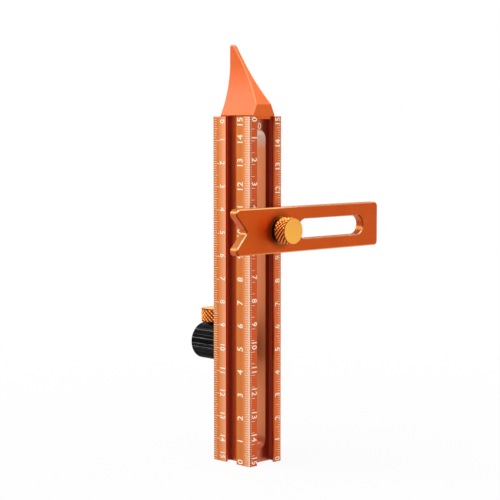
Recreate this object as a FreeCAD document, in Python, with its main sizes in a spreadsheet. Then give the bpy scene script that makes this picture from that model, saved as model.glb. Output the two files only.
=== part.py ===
import FreeCAD, Part
import Sketcher
import math
import os
from types import SimpleNamespace

# Marking ruler: a slotted extruded bar that stands on its end, with a pointed tip in its top,
# a marking blade on a carriage in its front T-slot and a pencil holder in its rear T-slot.
# Frame: origin at the centre of the bar's bottom end face, +Z up the bar, the blade on the -Y side
# and its long end towards +X.

# Driving sizes, in millimetres. Fits are in the clearances at the end.
SIZES = {
    "bar_width": 19.3,
    "bar_depth": 23.0,
    "bar_length": 150.0,
    "bar_corner_chamfer": 0.5,
    "lip_thickness": 1.0,
    "wide_opening": 10.4,
    "wide_cavity": 14.5,
    "wide_slot_depth": 4.5,
    "narrow_opening": 6.7,
    "narrow_cavity": 10.3,
    "narrow_slot_depth": 4.2,
    "pencil_slot_width": 8.4,
    "pencil_slot_end_web": 5.6,
    "tip_height": 30.8,
    "tip_base_width": 13.9,
    "tip_neck_width": 2.0,
    "tip_flank_height": 24.0,
    "tip_front_inset": 1.2,
    "tip_back_inset": 1.6,
    "tip_front_height": 5.1,
    "tip_top_depth": 2.2,
    "tip_top_radius": 1.0,
    "tip_heel_chamfer": 0.5,
    "tongue_width": 11.5,
    "tongue_drop": 1.14,
    "spigot_diameter": 5.0,
    "spigot_length": 4.0,
    "grub_diameter": 3.0,
    "grub_drop": 2.0,
    "grub_socket": 1.5,
    "grub_socket_depth": 1.2,
    "magnet_diameter": 8.0,
    "magnet_thickness": 3.0,
    "magnet_chamfer": 0.2,
    "nut_length": 16.0,
    "nut_corner_radius": 0.5,
    "nut_neck_height": 0.5,
    "blade_height": 101.95,
    "blade_standoff_height": 4.1,
    "blade_thickness": 4.4,
    "blade_width": 19.45,
    "blade_long_reach": 62.35,
    "blade_horn_reach": 27.7,
    "notch_depth": 8.8,
    "notch_radius": 1.5,
    "horn_radius": 2.0,
    "blade_corner_radius": 1.8,
    "blade_edge_chamfer": 0.45,
    "blade_slot_width": 8.4,
    "blade_slot_start": 11.75,
    "blade_slot_end": 52.45,
    "standoff_diameter": 16.0,
    "standoff_key_length": 11.0,
    "friction_washer_thickness": 0.5,
    "blade_stud_diameter": 5.0,
    "blade_washer_diameter": 12.0,
    "blade_washer_thickness": 0.7,
    "blade_neck_diameter": 9.0,
    "blade_neck_length": 1.25,
    "head_diameter": 11.2,
    "head_length": 6.1,
    "head_bevel": 0.25,
    "head_bore_diameter": 4.0,
    "head_bore_depth": 3.6,
    "holder_height": 50.3,
    "sleeve_bore_diameter": 8.2,
    "sleeve_diameter": 10.2,
    "sleeve_reach": 7.0,
    "sleeve_flange_length": 18.0,
    "sleeve_mouth_chamfer": 0.3,
    "collar_washer_diameter": 15.2,
    "collar_washer_thickness": 1.0,
    "collar_diameter": 16.0,
    "collar_length": 15.3,
    "collar_thread_length": 7.0,
    "collar_bore_diameter": 8.2,
    "collar_rim_length": 1.0,
    "collar_edge_chamfer": 0.4,
    "knurl_count": 62,
    "knurl_depth": 0.35,
    "holder_screw_offset": 10.0,
    "holder_stud_diameter": 4.0,
    "holder_head_gap": 0.9,
    "clamp_pad_diameter": 3.8,
    "clamp_pad_thickness": 1.2,
    "run_gap": 0.05,
    "slide_gap": 0.1,
    "cavity_floor_gap": 0.15,
    "press_gap": 0.02,
}

doc = FreeCAD.newDocument("MarkingRuler")
sheet = doc.addObject("Spreadsheet::Sheet", "Sizes")
for row, (alias, value) in enumerate(SIZES.items(), start=1):
    sheet.set("A%d" % row, alias)
    sheet.set("B%d" % row, str(value))
    sheet.setAlias("B%d" % row, alias)
doc.recompute()


class Dim:
    """A size that knows its value and the spreadsheet expression that gives it."""

    def __init__(self, value, text):
        self.value = value
        self.text = text

    def __add__(self, other):
        other = as_dim(other)
        return Dim(self.value + other.value, "(%s + %s)" % (self.text, other.text))

    def __sub__(self, other):
        other = as_dim(other)
        return Dim(self.value - other.value, "(%s - %s)" % (self.text, other.text))

    def __mul__(self, factor):
        return Dim(self.value * factor, "(%s * %r)" % (self.text, factor))

    def __truediv__(self, divisor):
        return Dim(self.value / divisor, "(%s / %r)" % (self.text, divisor))

    def __neg__(self):
        return Dim(-self.value, "(-%s)" % self.text)


def as_dim(number):
    """Plain numbers, such as a zero, stand beside the named sizes."""
    if isinstance(number, Dim):
        return number
    return Dim(float(number), repr(float(number)))


size = SimpleNamespace(**{alias: Dim(float(value), "Sizes." + alias) for alias, value in SIZES.items()})


def bind(target, path, length):
    """Tie a property, or one coordinate of it, to the spreadsheet."""
    target.setExpression(path, as_dim(length).text)


def origin_feature(body, role):
    return next(item for item in body.Origin.OriginFeatures if item.Role == role)


def new_body(label, place=(0, 0, 0), turn=(0, 0, 0)):
    """One piece. place is where its own origin lies, turn its yaw, pitch and roll in degrees."""
    body = doc.addObject("PartDesign::Body", "Body_" + label)
    body.Label = label
    body.Placement = FreeCAD.Placement(FreeCAD.Vector(0, 0, 0), FreeCAD.Rotation(*turn))
    for letter, length in zip("xyz", place):
        bind(body, "Placement.Base." + letter, length)
    return body


def new_sketch(body, role, lift=0):
    """An empty sketch on one of the body's origin planes, lifted along the plane's normal."""
    sketch = body.newObject("Sketcher::SketchObject", "Sketch_" + body.Label)
    sketch.AttachmentSupport = [(origin_feature(body, role), "")]
    sketch.MapMode = "FlatFace"
    bind(sketch, "AttachmentOffset.Base.z", lift)
    return sketch


def fix(sketch, kind, edge, point, length):
    """Hold one coordinate of a sketch point at a named size."""
    length = as_dim(length)
    number = sketch.addConstraint(Sketcher.Constraint(kind, -1, 1, edge, point, length.value))
    sketch.setExpression("Constraints[%d]" % number, length.text)


def add_outline(sketch, corners, arcs=None):
    """A closed outline through the corners. arcs maps a side's number to the centre of its arc, the
    centre coordinate that is held, and whether the arc runs anticlockwise."""
    arcs = arcs or {}
    first = sketch.GeometryCount
    points = [FreeCAD.Vector(as_dim(x).value, as_dim(y).value, 0) for x, y in corners]
    ends = []
    for side, start in enumerate(points):
        finish = points[(side + 1) % len(points)]
        if side in arcs:
            centre_x, centre_y, held, anticlockwise = arcs[side]
            centre = FreeCAD.Vector(as_dim(centre_x).value, as_dim(centre_y).value, 0)
            low, high = (start, finish) if anticlockwise else (finish, start)
            circle = Part.Circle(centre, FreeCAD.Vector(0, 0, 1), (start - centre).Length)
            angles = [math.atan2(point.y - centre.y, point.x - centre.x) for point in (low, high)]
            sketch.addGeometry(Part.ArcOfCircle(circle, *angles), False)
            ends.append((1, 2) if anticlockwise else (2, 1))
        else:
            sketch.addGeometry(Part.LineSegment(start, finish), False)
            ends.append((1, 2))
    for side, (x, y) in enumerate(corners):
        following = (side + 1) % len(corners)
        joined = Sketcher.Constraint(
            "Coincident", first + side, ends[side][1], first + following, ends[following][0])
        sketch.addConstraint(joined)
        fix(sketch, "DistanceX", first + side, ends[side][0], x)
        fix(sketch, "DistanceY", first + side, ends[side][0], y)
    for side, (centre_x, centre_y, held, anticlockwise) in arcs.items():
        if held == "x":
            fix(sketch, "DistanceX", first + side, 3, centre_x)
        else:
            fix(sketch, "DistanceY", first + side, 3, centre_y)


def add_rectangle(sketch, x0, x1, y0, y1):
    add_outline(sketch, [(x0, y0), (x1, y0), (x1, y1), (x0, y1)])


def add_circle(sketch, x, y, radius):
    centre = FreeCAD.Vector(as_dim(x).value, as_dim(y).value, 0)
    circle = Part.Circle(centre, FreeCAD.Vector(0, 0, 1), as_dim(radius).value)
    edge = sketch.addGeometry(circle, False)
    fix(sketch, "DistanceX", edge, 3, x)
    fix(sketch, "DistanceY", edge, 3, y)
    number = sketch.addConstraint(Sketcher.Constraint("Radius", edge, as_dim(radius).value))
    sketch.setExpression("Constraints[%d]" % number, as_dim(radius).text)


def add_slot(sketch, start, end, radius, along):
    """A round-ended slot centred on the sketch's x or y axis, between two arc centres."""
    if along == "x":
        corners = [(start, -radius), (end, -radius), (end, radius), (start, radius)]
        arcs = {1: (end, 0, "x", True), 3: (start, 0, "x", True)}
    else:
        corners = [(radius, start), (radius, end), (-radius, end), (-radius, start)]
        arcs = {1: (0, end, "y", True), 3: (0, start, "y", True)}
    add_outline(sketch, corners, arcs)


def extrude(body, kind, sketch, length, backwards=False, symmetric=False):
    """A Pad along the sketch's normal or a Pocket against it, unless backwards."""
    feature = body.newObject("PartDesign::" + kind, kind + "_" + body.Label)
    feature.Profile = sketch
    feature.Reversed = backwards
    feature.SideType = "Symmetric" if symmetric else "One side"
    bind(feature, "Length", length)
    body.Tip = feature
    return feature


def revolve(body, profile):
    """Turn a closed profile of (radius, height) points about the body's own Z axis."""
    sketch = new_sketch(body, "XZ_Plane")
    add_outline(sketch, profile)
    feature = body.newObject("PartDesign::Revolution", "Revolution_" + body.Label)
    feature.Profile = sketch
    feature.ReferenceAxis = (sketch, ["V_Axis"])
    feature.Angle = 360
    body.Tip = feature
    return feature


def edges_where(feature, wanted):
    """Names of the edges whose middle point passes a test."""
    names = []
    for number, edge in enumerate(feature.Shape.Edges, start=1):
        middle = edge.valueAt((edge.FirstParameter + edge.LastParameter) / 2)
        if wanted(middle, edge):
            names.append("Edge%d" % number)
    return names


def dress(body, kind, feature, names, length):
    """A Fillet or Chamfer on named edges of the last feature."""
    dressed = body.newObject("PartDesign::" + kind, kind + "_" + body.Label)
    dressed.Base = (feature, names)
    bind(dressed, "Radius" if kind == "Fillet" else "Size", length)
    body.Tip = dressed
    doc.recompute()
    return dressed


def near(a, b):
    return abs(a - b) < 0.01


half_width = size.bar_width / 2
half_depth = size.bar_depth / 2
wide_floor = half_depth - size.wide_slot_depth
narrow_floor = half_width - size.narrow_slot_depth

# Heights above the bar's front face, outwards along the blade's screw
blade_back = size.blade_standoff_height
blade_front = blade_back + size.blade_thickness
blade_washer_top = blade_front + size.run_gap + size.blade_washer_thickness
blade_neck_bottom = blade_washer_top + size.run_gap
blade_head_bottom = blade_neck_bottom + size.blade_neck_length

# Heights above the bar's rear face, outwards along the pencil's axis
collar_near = size.run_gap + size.collar_washer_thickness + size.run_gap
collar_far = collar_near + size.collar_length
collar_thread_end = collar_near + size.collar_thread_length

# Heights above the pencil's axis, up the holder's clamp screw
pad_bottom = size.collar_bore_diameter / 2 + size.run_gap
pad_top = pad_bottom + size.clamp_pad_thickness
holder_head_bottom = size.collar_diameter / 2 + size.holder_head_gap

# Places and turns of the three screw axes: local Z is outwards along the screw
FRONT_PLACE = (0, -half_depth, size.blade_height)
FRONT_TURN = (0, 0, 90)
REAR_PLACE = (0, half_depth, size.holder_height)
REAR_TURN = (180, 0, 90)
CLAMP_PLACE = (0, half_depth + size.holder_screw_offset, size.holder_height)


def make_ruler_bar():
    """Extrusion with a wide T-slot front and back and a narrow one in each side. A round-ended slot
    for the pencil runs through the web from front to back."""
    body = new_body("ruler_bar")
    quarter = [
        (narrow_floor, size.narrow_cavity / 2),
        (half_width - size.lip_thickness, size.narrow_cavity / 2),
        (half_width - size.lip_thickness, size.narrow_opening / 2),
        (half_width, size.narrow_opening / 2),
        (half_width, half_depth - size.bar_corner_chamfer),
        (half_width - size.bar_corner_chamfer, half_depth),
        (size.wide_opening / 2, half_depth),
        (size.wide_opening / 2, half_depth - size.lip_thickness),
        (size.wide_cavity / 2, half_depth - size.lip_thickness),
        (size.wide_cavity / 2, wide_floor),
    ]
    section = list(quarter)
    section += [(-x, y) for x, y in reversed(quarter)]
    section += [(-x, -y) for x, y in quarter]
    section += [(x, -y) for x, y in reversed(quarter)]
    sketch = new_sketch(body, "XY_Plane")
    add_outline(sketch, section)
    extrude(body, "Pad", sketch, size.bar_length)

    sketch = new_sketch(body, "XZ_Plane")
    radius = size.pencil_slot_width / 2
    low = size.pencil_slot_end_web + radius
    high = size.bar_length - size.pencil_slot_end_web - radius
    add_slot(sketch, low, high, radius, "y")
    extrude(body, "Pocket", sketch, size.bar_depth, symmetric=True)

    sketch = new_sketch(body, "XY_Plane", size.bar_length)
    add_circle(sketch, 0, 0, size.spigot_diameter / 2 + size.press_gap)
    extrude(body, "Pocket", sketch, size.spigot_length + size.slide_gap)

    sketch = new_sketch(body, "YZ_Plane")
    add_circle(sketch, 0, size.bar_length - size.grub_drop, size.grub_diameter / 2 + size.press_gap)
    extrude(body, "Pocket", sketch, half_width, backwards=True)

    sketch = new_sketch(body, "XY_Plane")
    add_circle(sketch, 0, 0, size.magnet_diameter / 2 + size.run_gap)
    extrude(body, "Pocket", sketch, size.magnet_thickness + size.run_gap, backwards=True)
    return body


def make_pointer_tip():
    """Tapered tip: hollow-curved flanks, an upright back and a front that slopes back to a narrow
    top. Two tongues drop into the wide T-slots and a spigot into the bar's web."""
    body = new_body("pointer_tip", (0, 0, size.bar_length))
    front = half_depth - size.tip_front_inset
    back = half_depth - size.tip_back_inset
    base = size.tip_base_width / 2
    neck = size.tip_neck_width / 2
    rise = size.tip_flank_height.value
    spread = (base - neck).value
    flank_radius = (spread * spread + rise * rise) / (2 * spread)
    flank_centre = as_dim(neck.value + flank_radius)
    corners = [
        (-base, 0),
        (base, 0),
        (neck, size.tip_flank_height),
        (neck, size.tip_height),
        (-neck, size.tip_height),
        (-neck, size.tip_flank_height),
    ]
    arcs = {
        1: (flank_centre, size.tip_flank_height, "y", False),
        5: (-flank_centre, size.tip_flank_height, "y", False),
    }
    sketch = new_sketch(body, "XZ_Plane", -back)
    add_outline(sketch, corners, arcs)
    extrude(body, "Pad", sketch, front + back)

    top_front = back - size.tip_top_depth
    clear = size.tip_height * 2
    sketch = new_sketch(body, "YZ_Plane")
    slope = [
        (-front, size.tip_front_height),
        (top_front, size.tip_height),
        (top_front, clear),
        (-clear, clear),
        (-clear, size.tip_front_height),
    ]
    add_outline(sketch, slope)
    cut = extrude(body, "Pocket", sketch, size.bar_width, symmetric=True)
    doc.recompute()

    rim = edges_where(cut, lambda p, edge: near(p.x, 0) and near(p.z, size.tip_height.value))
    rounded = dress(body, "Fillet", cut, rim, size.tip_top_radius)

    heel = edges_where(rounded, lambda p, edge: near(p.z, 0) and near(abs(p.x), base.value))
    dress(body, "Chamfer", rounded, heel, size.tip_heel_chamfer)

    sketch = new_sketch(body, "XY_Plane")
    inner = wide_floor + size.slide_gap
    half_tongue = size.tongue_width / 2
    add_rectangle(sketch, -half_tongue, half_tongue, -front, -inner)
    add_rectangle(sketch, -half_tongue, half_tongue, inner, back)
    extrude(body, "Pad", sketch, size.tongue_drop, backwards=True)

    sketch = new_sketch(body, "XY_Plane")
    add_circle(sketch, 0, 0, size.spigot_diameter / 2)
    extrude(body, "Pad", sketch, size.spigot_length, backwards=True)
    return body


def make_tip_grub_screw():
    """Set screw in the side slot's floor that bears on the tip's spigot."""
    reach = size.spigot_diameter / 2 + size.press_gap
    place = (reach, 0, size.bar_length - size.grub_drop)
    body = new_body("tip_grub_screw", place, (0, 90, 0))
    length = narrow_floor - reach - size.slide_gap
    sketch = new_sketch(body, "XY_Plane")
    add_circle(sketch, 0, 0, size.grub_diameter / 2)
    extrude(body, "Pad", sketch, length)
    sketch = new_sketch(body, "XY_Plane", length)
    radius = size.grub_socket / math.sqrt(3)
    corners = [
        (radius * math.cos(math.radians(60 * turn)), radius * math.sin(math.radians(60 * turn)))
        for turn in range(6)
    ]
    add_outline(sketch, corners)
    extrude(body, "Pocket", sketch, size.grub_socket_depth)
    return body


def make_base_magnet():
    """Disc magnet glued flush into the bar's bottom end."""
    body = new_body("base_magnet")
    radius = size.magnet_diameter / 2
    profile = [
        (0, 0),
        (radius - size.magnet_chamfer, 0),
        (radius, size.magnet_chamfer),
        (radius, size.magnet_thickness),
        (0, size.magnet_thickness),
    ]
    revolve(body, profile)
    return body


def add_tee_flange(body, length):
    """The slab that lies behind the lips of a wide T-slot, with rounded corners."""
    half_flange = size.wide_cavity / 2 - size.cavity_floor_gap
    bottom = -(size.wide_slot_depth - size.cavity_floor_gap)
    top = -(size.lip_thickness + size.run_gap)
    sketch = new_sketch(body, "XY_Plane", bottom)
    add_rectangle(sketch, -half_flange, half_flange, -length / 2, length / 2)
    flange = extrude(body, "Pad", sketch, top - bottom)
    doc.recompute()
    upright = edges_where(flange, lambda p, edge: near(p.z, (top + bottom).value / 2))
    dress(body, "Fillet", flange, upright, size.nut_corner_radius)
    return bottom, top


def add_bore(body, radius, lift, depth):
    """A round hole from a height down along the body's own Z axis."""
    sketch = new_sketch(body, "XY_Plane", lift)
    add_circle(sketch, 0, 0, radius)
    return extrude(body, "Pocket", sketch, depth)


def make_blade_tee_nut():
    """T-nut in the front slot: the blade's screw is threaded into it."""
    body = new_body("blade_tee_nut", FRONT_PLACE, FRONT_TURN)
    bottom, top = add_tee_flange(body, size.nut_length)
    neck_top = -size.nut_neck_height
    half_neck = size.wide_opening / 2 - size.slide_gap
    sketch = new_sketch(body, "XY_Plane", top)
    add_rectangle(sketch, -half_neck, half_neck, -size.nut_length / 2, size.nut_length / 2)
    extrude(body, "Pad", sketch, neck_top - top)
    add_bore(body, size.blade_stud_diameter / 2 + size.run_gap, neck_top, neck_top - bottom)
    return body


def make_blade_standoff():
    """Round block between the bar and the blade. Its key runs in the mouth of the front slot."""
    body = new_body("blade_standoff", FRONT_PLACE, FRONT_TURN)
    top = blade_back - size.run_gap - size.friction_washer_thickness
    sketch = new_sketch(body, "XY_Plane", size.run_gap)
    add_circle(sketch, 0, 0, size.standoff_diameter / 2)
    extrude(body, "Pad", sketch, top - size.run_gap)
    key_bottom = -(size.nut_neck_height - size.slide_gap)
    half_key = size.wide_opening / 2 - size.slide_gap
    sketch = new_sketch(body, "XY_Plane", key_bottom)
    half_length = size.standoff_key_length / 2
    add_rectangle(sketch, -half_key, half_key, -half_length, half_length)
    extrude(body, "Pad", sketch, size.run_gap - key_bottom)
    add_bore(body, size.blade_stud_diameter / 2 + size.run_gap, top, top - key_bottom)
    return body


def add_ring(body, outer, inner, bottom, top):
    """A washer: a rectangle turned about the body's own Z axis."""
    revolve(body, [(inner, bottom), (outer, bottom), (outer, top), (inner, top)])


def make_blade_friction_washer():
    """Thin plastic washer that keeps the blade off the block's edge."""
    body = new_body("blade_friction_washer", FRONT_PLACE, FRONT_TURN)
    top = blade_back - size.run_gap
    bore = size.blade_stud_diameter / 2 + size.run_gap
    add_ring(body, size.standoff_diameter / 2, bore, top - size.friction_washer_thickness, top)
    return body


def make_marking_blade():
    """Flat blade with a V notch in its short end, a round-ended window along its long end and a
    screw hole over the bar. Every outline edge is chamfered, front and back."""
    body = new_body("marking_blade", FRONT_PLACE, FRONT_TURN)
    half = size.blade_width / 2
    horn = -size.blade_horn_reach
    apex = horn + size.notch_depth
    sketch = new_sketch(body, "XY_Plane", blade_back)
    outline = [(horn, -half), (size.blade_long_reach, -half), (size.blade_long_reach, half)]
    outline += [(horn, half), (apex, 0)]
    add_outline(sketch, outline)
    plate = extrude(body, "Pad", sketch, size.blade_thickness)
    doc.recompute()

    middle = (blade_back + blade_front).value / 2

    def corner_at(feature, x):
        return edges_where(feature, lambda p, edge: near(p.z, middle) and near(p.x, x.value))

    plate = dress(body, "Fillet", plate, corner_at(plate, horn), size.horn_radius)
    plate = dress(body, "Fillet", plate, corner_at(plate, apex), size.notch_radius)
    corners = corner_at(plate, size.blade_long_reach)
    plate = dress(body, "Fillet", plate, corners, size.blade_corner_radius)

    sketch = new_sketch(body, "XY_Plane", blade_front)
    radius = size.blade_slot_width / 2
    add_slot(sketch, size.blade_slot_start + radius, size.blade_slot_end - radius, radius, "x")
    plate = extrude(body, "Pocket", sketch, size.blade_thickness)
    doc.recompute()
    faces = (blade_back.value, blade_front.value)
    rims = edges_where(plate, lambda p, edge: near(p.z, faces[0]) or near(p.z, faces[1]))
    dress(body, "Chamfer", plate, rims, size.blade_edge_chamfer)
    add_bore(body, size.blade_stud_diameter / 2 + size.run_gap, blade_front, size.blade_thickness)
    return body


def make_blade_flat_washer():
    body = new_body("blade_flat_washer", FRONT_PLACE, FRONT_TURN)
    bore = size.blade_stud_diameter / 2 + size.run_gap
    bottom = blade_front + size.run_gap
    add_ring(body, size.blade_washer_diameter / 2, bore, bottom, blade_washer_top)
    return body


def make_blade_screw_stud():
    """Steel stud: threaded shank, a shoulder that bears on the washer and a spigot in the head."""
    body = new_body("blade_screw_stud", FRONT_PLACE, FRONT_TURN)
    shank = size.blade_stud_diameter / 2
    shoulder = size.blade_neck_diameter / 2
    spigot = size.head_bore_diameter / 2 - size.press_gap
    bottom = -(size.wide_slot_depth - size.cavity_floor_gap)
    spigot_top = blade_head_bottom + size.head_bore_depth - size.slide_gap
    profile = [
        (0, bottom),
        (shank, bottom),
        (shank, blade_neck_bottom),
        (shoulder, blade_neck_bottom),
        (shoulder, blade_head_bottom),
        (spigot, blade_head_bottom),
        (spigot, spigot_top),
        (0, spigot_top),
    ]
    revolve(body, profile)
    return body


def make_thumb_head(label, place, turn, bottom):
    """Brass thumb-screw head: a disc with bevelled rims and a blind bore for its stud."""
    body = new_body(label, place, turn)
    radius = size.head_diameter / 2
    bore = size.head_bore_diameter / 2
    top = bottom + size.head_length
    profile = [
        (bore, bottom),
        (radius - size.head_bevel, bottom),
        (radius, bottom + size.head_bevel),
        (radius, top - size.head_bevel),
        (radius - size.head_bevel, top),
        (0, top),
        (0, bottom + size.head_bore_depth),
        (bore, bottom + size.head_bore_depth),
    ]
    revolve(body, profile)
    return body


def make_holder_tee_sleeve():
    """Flanged sleeve: the flange lies behind the rear slot's lips and the threaded tube, bored for
    the pencil, stands out through the slot's mouth."""
    body = new_body("holder_tee_sleeve", REAR_PLACE, REAR_TURN)
    bottom, top = add_tee_flange(body, size.sleeve_flange_length)
    sketch = new_sketch(body, "XY_Plane", top)
    add_circle(sketch, 0, 0, size.sleeve_diameter / 2)
    extrude(body, "Pad", sketch, size.sleeve_reach - top)
    bore = add_bore(body, size.sleeve_bore_diameter / 2, size.sleeve_reach, size.sleeve_reach - bottom)
    doc.recompute()
    mouth = edges_where(bore, lambda p, edge: near(p.z, size.sleeve_reach.value))
    dress(body, "Chamfer", bore, mouth, size.sleeve_mouth_chamfer)
    return body


def make_holder_flat_washer():
    body = new_body("holder_flat_washer", REAR_PLACE, REAR_TURN)
    bore = size.sleeve_diameter / 2 + size.run_gap
    top = size.run_gap + size.collar_washer_thickness
    add_ring(body, size.collar_washer_diameter / 2, bore, size.run_gap, top)
    return body


def make_holder_collar():
    """Knurled clamping nut: its thread runs on the sleeve, the pencil passes through its bore and
    the clamp screw comes in from its side. Straight V grooves cut the grip between two rims."""
    body = new_body("holder_collar", REAR_PLACE, REAR_TURN)
    radius = size.collar_diameter / 2
    thread = size.sleeve_diameter / 2 + size.run_gap
    bore = size.collar_bore_diameter / 2
    chamfer = size.collar_edge_chamfer
    profile = [
        (thread, collar_near),
        (radius - chamfer, collar_near),
        (radius, collar_near + chamfer),
        (radius, collar_far - chamfer),
        (radius - chamfer, collar_far),
        (bore + chamfer, collar_far),
        (bore, collar_far - chamfer),
        (bore, collar_thread_end),
        (thread, collar_thread_end),
    ]
    revolve(body, profile)

    sketch = new_sketch(body, "XZ_Plane")
    add_circle(sketch, 0, size.holder_screw_offset, size.holder_stud_diameter / 2 + size.run_gap)
    extrude(body, "Pocket", sketch, size.collar_diameter)

    sketch = new_sketch(body, "XY_Plane", collar_near + size.collar_rim_length)
    clear = size.knurl_depth * 2
    groove = [
        (radius - size.knurl_depth, 0),
        (radius + size.knurl_depth, -clear),
        (radius + size.knurl_depth, clear),
    ]
    add_outline(sketch, groove)
    length = size.collar_length - size.collar_rim_length * 2
    first = extrude(body, "Pocket", sketch, length, backwards=True)
    grooves = body.newObject("PartDesign::PolarPattern", "PolarPattern_" + body.Label)
    grooves.Originals = [first]
    grooves.Axis = (origin_feature(body, "Z_Axis"), [""])
    grooves.Angle = 360
    bind(grooves, "Occurrences", size.knurl_count)
    body.Tip = grooves
    return body


def make_holder_clamp_pad():
    """Plastic pad at the end of the clamp screw: it bears on the pencil and doesn't turn."""
    body = new_body("holder_clamp_pad", CLAMP_PLACE)
    radius = size.clamp_pad_diameter / 2
    revolve(body, [(0, pad_bottom), (radius, pad_bottom), (radius, pad_top), (0, pad_top)])
    return body


def make_holder_screw_stud():
    """Steel stud of the clamp screw, threaded in the collar's side."""
    body = new_body("holder_screw_stud", CLAMP_PLACE)
    shank = size.holder_stud_diameter / 2
    spigot = size.head_bore_diameter / 2 - size.press_gap
    bottom = pad_top + size.run_gap
    top = holder_head_bottom + size.head_bore_depth - size.slide_gap
    profile = [
        (0, bottom),
        (shank, bottom),
        (shank, holder_head_bottom),
        (spigot, holder_head_bottom),
        (spigot, top),
        (0, top),
    ]
    revolve(body, profile)
    return body


pieces = [
    make_ruler_bar(),
    make_pointer_tip(),
    make_tip_grub_screw(),
    make_base_magnet(),
    make_blade_tee_nut(),
    make_blade_standoff(),
    make_blade_friction_washer(),
    make_marking_blade(),
    make_blade_flat_washer(),
    make_blade_screw_stud(),
    make_thumb_head("blade_thumb_screw", FRONT_PLACE, FRONT_TURN, blade_head_bottom),
    make_holder_tee_sleeve(),
    make_holder_flat_washer(),
    make_holder_collar(),
    make_holder_clamp_pad(),
    make_holder_screw_stud(),
    make_thumb_head("holder_thumb_screw", CLAMP_PLACE, (0, 0, 0), holder_head_bottom),
]
doc.recompute()

for item in doc.Objects:
    if "Invalid" in item.State or "Error" in item.State:
        raise RuntimeError("%s failed: %s" % (item.Label, item.State))
os.makedirs("parts", exist_ok=True)
for piece in pieces:
    shape = piece.Shape
    if shape.isNull() or not shape.isValid():
        raise RuntimeError(piece.Label + " has no valid shape")
    shape.exportStep("parts/%s.step" % piece.Label)
    box = shape.BoundBox
    print("%-24s solids %d volume %9.2f  X %7.2f %7.2f  Y %7.2f %7.2f  Z %7.2f %7.2f" % (
        piece.Label, len(shape.Solids), shape.Volume,
        box.XMin, box.XMax, box.YMin, box.YMax, box.ZMin, box.ZMax))
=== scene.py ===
import math
import bpy
import numpy as np
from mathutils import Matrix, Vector


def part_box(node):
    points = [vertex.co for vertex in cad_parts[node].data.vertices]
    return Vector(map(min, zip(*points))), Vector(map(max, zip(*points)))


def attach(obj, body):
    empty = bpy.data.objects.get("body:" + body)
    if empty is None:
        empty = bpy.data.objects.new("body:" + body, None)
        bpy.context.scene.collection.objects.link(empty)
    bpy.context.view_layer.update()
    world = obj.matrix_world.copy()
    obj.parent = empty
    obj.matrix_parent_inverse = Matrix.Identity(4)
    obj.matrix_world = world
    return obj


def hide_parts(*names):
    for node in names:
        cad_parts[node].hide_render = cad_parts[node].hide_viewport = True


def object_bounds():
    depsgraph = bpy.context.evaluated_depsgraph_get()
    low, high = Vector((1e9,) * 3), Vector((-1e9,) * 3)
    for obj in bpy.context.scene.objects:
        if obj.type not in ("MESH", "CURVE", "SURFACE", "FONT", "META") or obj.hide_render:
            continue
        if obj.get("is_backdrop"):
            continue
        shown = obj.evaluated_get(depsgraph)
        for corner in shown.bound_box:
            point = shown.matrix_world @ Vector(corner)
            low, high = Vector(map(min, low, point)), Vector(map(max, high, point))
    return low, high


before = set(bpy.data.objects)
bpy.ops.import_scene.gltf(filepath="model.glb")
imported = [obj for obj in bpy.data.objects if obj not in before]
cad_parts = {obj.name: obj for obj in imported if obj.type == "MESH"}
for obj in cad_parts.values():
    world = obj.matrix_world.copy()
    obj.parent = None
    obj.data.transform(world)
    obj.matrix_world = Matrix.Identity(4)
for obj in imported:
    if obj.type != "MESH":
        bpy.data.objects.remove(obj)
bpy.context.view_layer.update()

MM = 0.001


# The studio: a camera level with the bar's top end, a white floor and background, soft lamps.
# The camera stands 0.66 m away, turned to see two sides of the bar, and tips down to centre it.
# Polished faces mirror a room that is white one way, darker the other way and darkest overhead.
EYE = Vector((-458.1, -477.1, 150.0)) * MM
EYE_TURN = math.radians(43.94)
EYE_TILT = math.radians(4.985)
LENS_MM = 110.3

scene = bpy.context.scene
scene.view_settings.view_transform = "Standard"

lens = bpy.data.cameras.new("photo_camera")
lens.lens = LENS_MM
camera = bpy.data.objects.new("photo_camera", lens)
camera.location = EYE
camera.rotation_euler = (math.pi / 2 - EYE_TILT, 0, -EYE_TURN)
scene.collection.objects.link(camera)
scene.camera = camera


def srgb(hex_text):
    """Linear RGBA of an sRGB hex colour: each channel through the sRGB curve."""
    channel = np.array([int(hex_text[start:start + 2], 16) for start in (1, 3, 5)]) / 255
    linear = np.where(channel <= 0.04045, channel / 12.92, ((channel + 0.055) / 1.055) ** 2.4)
    return (*linear.tolist(), 1.0)


def add_node(tree, kind, settings=None):
    """Adds a node. A setting is for an input, by name or number, or else for a property of the
    node. An input takes a number, a hex colour, or a socket, which is linked to it."""
    made = tree.nodes.new(kind)
    for name, value in (settings or {}).items():
        if isinstance(name, str) and name not in made.inputs:
            setattr(made, name, value)
        elif isinstance(value, bpy.types.NodeSocket):
            tree.links.new(value, made.inputs[name])
        else:
            made.inputs[name].default_value = srgb(value) if isinstance(value, str) else value
    return made


def worked_out(tree, value, *steps):
    """A formula worked out step by step. A step is an operation and the numbers or sockets that it
    takes after the value so far."""
    for operation, *others in steps:
        settings = {"operation": operation, 0: value, **dict(enumerate(others, 1))}
        value = add_node(tree, "ShaderNodeMath", settings).outputs[0]
    return value


# Spans here are shares of a direction: -1 is straight away from it and 1 straight along it.
ROOM_LIGHT = 0.33
BRIGHT_WAY = (-0.35, 0.94, 0)
BRIGHT_SPAN = (-1.1, 0.6)
ROOM_DARK = 0.8
CEILING_SPAN = (0.4, 0.9)
CEILING_DARK = 0.44


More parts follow.
